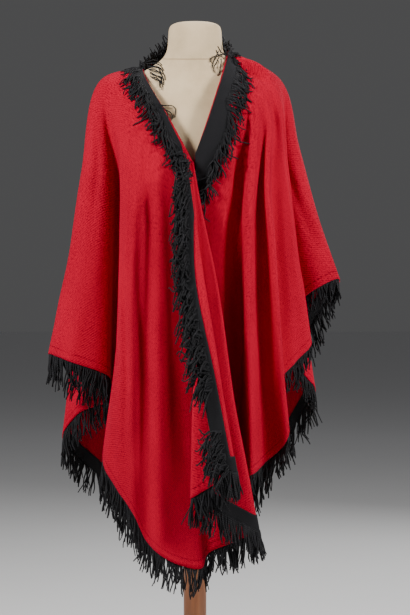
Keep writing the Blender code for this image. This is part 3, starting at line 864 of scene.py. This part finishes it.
# The middle lines of an edge's strands
def strandLines(key, style, chance):
    grid, lifts = strips[key]
    run = runAlong(grid, 0)[:, -1]
    outs = grid[:, -1] - grid[:, -2]
    outs /= np.linalg.norm(outs, axis=1, keepdims=True)
    lapelEnd = run[len(lapel)] if key == "frontRight" else 0.0
    leftHem = acrossRun[column("left wing, back"), -1]
    lines = []
    place = 1 * mm
    bunch = 0.0
    while place < run[-1]:
        kind = "lapel" if place < lapelEnd else style
        look = fringeStyles[kind]
        root, out, lift = [
            np.array([np.interp(place, run, rows[:, k]) for k in range(3)])
            for rows in (grid[:, -1], outs, lifts[:, -1])]
        length = fringe["length"] * look["size"] * chance.uniform(*fringe["lengths"])
        length *= growth(kind, place - lapelEnd, run[-1] - place)
        if key == "hem" and place > leftHem:
            length *= fringe["leftSize"]
        if chance.rand() < fringe["newBunch"]:
            bunch = chance.normal(0, fringe["bunchSwing"])
        line = strandLine(root, out, lift, length, look, bunch, chance)
        if key != "hem":
            line = clearOfCloth(line, kind == "collar" or key == "frontLeft")
        if not (key == "frontRight" and fringe["bare"][0] < root[2] < fringe["bare"][1]):
            lines.append(pressedBack(line))
        # Painted shade: along the crowded run the hem strands stand twice as close, real fringe
        # thickened to stand in for the shade on the cloth behind
        crowd = 0.5 if key == "hem" and place < fringe["crowded"] else 1.0
        place += crowd * look["pitch"] * mm * chance.uniform(0.6, 1.4)
    return lines


# One mesh of closed strands round the lines, with a UV map round and along each
def tubeMesh(name, lines, radii):
    sides = fringe["sides"]
    points, faces, plan = [], [], []
    for line, radius in zip(lines, radii):
        line = np.array(line)
        joints = len(line) - 1
        ways = np.gradient(line, axis=0)
        ways /= np.linalg.norm(ways, axis=1, keepdims=True)
        aside = np.cross(ways, (0.31, 0.87, 0.38))      # a way that hardly any strand takes
        aside /= np.linalg.norm(aside, axis=1, keepdims=True)
        across = np.cross(ways, aside)
        start = len(points)
        for n in range(joints + 1):
            girth = radius * (1.0 - fringe["taper"] * (n / joints) ** 4)
            for s in range(sides):
                turn = 2 * math.pi * s / sides
                spoke = aside[n] * math.cos(turn) + across[n] * math.sin(turn)
                points.append(line[n] + spoke * girth)
        for n in range(joints):
            low = n * fringe["length"] / joints
            high = (n + 1) * fringe["length"] / joints
            for s in range(sides):
                a = start + n * sides + s
                b = start + n * sides + (s + 1) % sides
                faces.append((a, b, b + sides, a + sides))
                plan += [(s / sides, low), ((s + 1) / sides, low),
                         ((s + 1) / sides, high), (s / sides, high)]
        faces.append(tuple(range(start + sides - 1, start - 1, -1)))
        plan += [(0.0, 0.0)] * sides
        end = start + joints * sides
        faces.append(tuple(range(end, end + sides)))
        plan += [(0.0, fringe["length"])] * sides
    mesh = bpy.data.meshes.new(name)
    mesh.from_pydata([tuple(p) for p in points], [], faces)
    layer = mesh.uv_layers.new(name="strand")
    layer.data.foreach_set("uv", np.array(plan).reshape(-1))
    return mesh


# Loose strands, in mm: x and z of the root and of the tip, how far the middle bows
# up, and how far the strand stands off the form or the cloth behind it
looseStrands = (
    ((-103, 1434), (-70, 1424), 9, 10), ((-102, 1430), (-67, 1412), 10, 9),
    ((-101, 1426), (-72, 1403), 9, 8), ((-100, 1422), (-66, 1402), 11, 8),
    ((-99, 1418), (-69, 1393), 9, 7), ((-98, 1414), (-63, 1391), 10, 7),
    ((-97, 1410), (-72, 1383), 8, 6), ((-96, 1406), (-66, 1381), 9, 6),
    ((-94, 1402), (-74, 1376), 7, 5), ((-93, 1399), (-69, 1370), 8, 5),
    ((-76, 1337), (-41, 1309), 15, 7), ((-74, 1334), (-48, 1303), 8, 5),
    ((-73, 1331), (-55, 1304), 6, 4), ((54, 1448), (38, 1418), -6, 7),
    ((53, 1442), (42, 1408), -5, 6), ((55, 1438), (46, 1402), 5, 5),
    ((50, 1446), (33, 1430), -5, 8), ((66, 1446), (49, 1466), 3, 16),
    ((66, 1448), (57, 1472), -3, 15), ((67, 1448), (66, 1474), 3, 14),
    ((68, 1447), (77, 1470), -3, 14), ((68, 1446), (85, 1462), 4, 14),
    ((70, 1444), (93, 1450), 4, 13), ((70, 1443), (98, 1442), 5, 12),
    ((66, 1445), (45, 1456), 4, 17),
)
loose = {"joints": 14, "radius": 1.15 * mm, "wave": 1.3 * mm, "waveTurn": 8.0,
         "least": 0.6 * mm, "shoulderDepth": -22 * mm}


# Strands that fall inwards over the chest of the form, and a tuft on the left shoulder
def looseLines(chance):
    formTree = BVHTree.FromPolygons(*meshOf("form_torso"))
    lines = []
    for root, tip, bow, off in looseStrands:
        root, tip = np.array(root) * mm, np.array(tip) * mm
        aside = np.array((root[1] - tip[1], tip[0] - root[0]))
        aside = aside / np.linalg.norm(aside)
        phase = chance.uniform(0, 6.3)
        line = []
        for t in np.linspace(0, 1, loose["joints"] + 1):
            spot = root + (tip - root) * t + aside * math.sin(math.pi * t ** 1.4) * bow * mm
            spot = spot + aside * math.sin(loose["waveTurn"] * t + phase) * loose["wave"]
            start = Vector((spot[0], -1.0, spot[1]))
            hits = [tree.ray_cast(start, Vector((0, 1, 0)))[0] for tree in (formTree, clothTree)]
            front = min([hit[1] for hit in hits if hit] or [loose["shoulderDepth"]])
            front = min(front, loose["shoulderDepth"])
            rise = off * math.sin(math.pi * min(t + 0.3, 1.0)) * mm
            depth = front - loose["radius"] - loose["least"] - rise
            line.append(np.array((spot[0], depth, spot[1])))
        depths = np.array([p[1] for p in line])
        for _ in range(2):
            depths = np.convolve(np.pad(depths, 1, mode="edge"), (0.25, 0.5, 0.25), mode="valid")
        lines.append([np.array((p[0], min(d, p[1]), p[2])) for p, d in zip(line, depths)])
    return lines


def makeFringe(name, seed):
    chance = np.random.RandomState(seed)
    lines = [line for key, style in fringeEdges[name] for line in strandLines(key, style, chance)]
    radii = list(chance.uniform(*fringe["radii"], len(lines)) * fringe["radius"])
    if name == "fringeNeck":
        lines += looseLines(chance)
        radii += [loose["radius"]] * len(looseStrands)
    piece = bpy.data.objects.new(name, tubeMesh(name, lines, radii))
    bpy.context.collection.objects.link(piece)
    selectOnly(piece)
    piece = finishMesh(name, blackFringe)
    print(name, len(lines), "strands")
    return piece


fringes = [makeFringe("fringeHem", 11), makeFringe("fringeFronts", 12),
           makeFringe("fringeNeck", 13)]


# The form: a merged copy of its node, smoothed
form = {"merge": 0.02 * mm, "flattest": 1.2, "smoothing": 2}


def copyOfNode(node, name):
    source = bpy.data.objects[node]
    piece = source.copy()
    piece.data = source.data.copy()
    piece.name = name
    bpy.context.collection.objects.link(piece)
    selectOnly(piece)
    bpy.ops.object.mode_set(mode="EDIT")
    bpy.ops.mesh.select_all(action="SELECT")
    bpy.ops.mesh.remove_doubles(threshold=form["merge"])
    bpy.ops.mesh.tris_convert_to_quads(face_threshold=form["flattest"],
                                       shape_threshold=form["flattest"])
    bpy.ops.object.mode_set(mode="OBJECT")
    return piece


def makeForm():
    piece = copyOfNode("form_torso", "dressForm")
    smooth = piece.modifiers.new("smooth", "SUBSURF")
    smooth.levels = form["smoothing"]
    smooth.render_levels = form["smoothing"]
    bpy.ops.object.modifier_apply(modifier=smooth.name)
    piece = finishMesh("dressForm", creamJersey)
    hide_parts("form_torso")


# The stand's turned pieces: name, node, radius, rounding of the edges, sides
turned = (
    ("pole", "stand_pole", 24.5 * mm, 2 * mm, 96),
    ("roundBase", "stand_base", 190 * mm, 8 * mm, 160),
)


def makeTurned(name, node, radius, rounding, sides):
    low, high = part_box(node)
    bpy.ops.object.select_all(action="DESELECT")
    bpy.ops.mesh.primitive_cylinder_add(vertices=sides, radius=radius, depth=high[2] - low[2],
                                        location=(0, 0, (high[2] + low[2]) / 2))
    piece = bpy.context.object
    bpy.ops.object.transform_apply(location=True, rotation=True, scale=True)
    bevel = piece.modifiers.new("rounding", "BEVEL")
    bevel.width = rounding
    bevel.segments = 6
    bevel.limit_method = "ANGLE"
    bevel.angle_limit = math.radians(60)
    bpy.ops.object.modifier_apply(modifier=bevel.name)
    piece = finishMesh(name, polishedWood)
    bpy.ops.object.shade_smooth_by_angle(angle=math.radians(40))
    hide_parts(node)


makeForm()
for row in turned:
    makeTurned(*row)
print("form and stand made")


# Floor, world and soft lights. The floor gets paler from near to far: painted light, paler far out
# where the lamps' light falls off
studio = {"floor": (0.56, 0.555, 0.55, 1), "pale": (0.93, 0.93, 0.94, 1), "radius": 60,
          "near": 2.0, "far": 9.0, "air": (0.60, 0.60, 0.61, 1), "airStrength": 0.13}


def makeStudio():
    bpy.ops.object.select_all(action="DESELECT")
    bpy.ops.mesh.primitive_circle_add(vertices=96, radius=studio["radius"], fill_type="NGON")
    floor = bpy.context.object
    floor.name = "floor"
    paint = Paint("paleFloor", {"Roughness": 0.9})
    where = paint.place()
    far = paint.node("ShaderNodeVectorMath", {"operation": "LENGTH"}, {0: where}, out=1)
    # painted light: the floor's colour grows paler with distance from the stand, where the lamps
    # light it less
    share = ramp01(far, studio["near"], studio["far"]) + paint.noise(where, 3.0) * 0.06
    paint.feed("Base Color", paint.blend(share, studio["floor"], studio["pale"]))
    floor.data.materials.append(paint.material)
    world = bpy.data.worlds.new("air")
    bpy.context.scene.world = world
    world.use_nodes = True
    sky = world.node_tree.nodes["Background"]
    sky.inputs["Color"].default_value = studio["air"]
    sky.inputs["Strength"].default_value = studio["airStrength"]


# name, place, aim, size, watts
lights = (
    ("key", (-2.5, -1.9, 2.8), (0.0, 0.0, 1.15), 0.8, 215),
    ("fill", (2.7, -1.5, 2.3), (0.0, 0.0, 1.15), 0.8, 165),
    ("top", (0.2, 1.2, 3.4), (0.0, 0.0, 1.2), 1.4, 40),
    ("back", (1.6, 2.8, 2.2), (0.0, 0.0, 1.0), 1.6, 45),
)


def makeLights():
    for name, place, aim, size, power in lights:
        bpy.ops.object.light_add(type="AREA", location=place)
        light = bpy.context.object
        light.name = name
        light.data.size = size
        light.data.energy = power
        light.rotation_euler = (Vector(aim) - Vector(place)).to_track_quat("-Z", "Y").to_euler()


makeStudio()
makeLights()
print("studio ready")
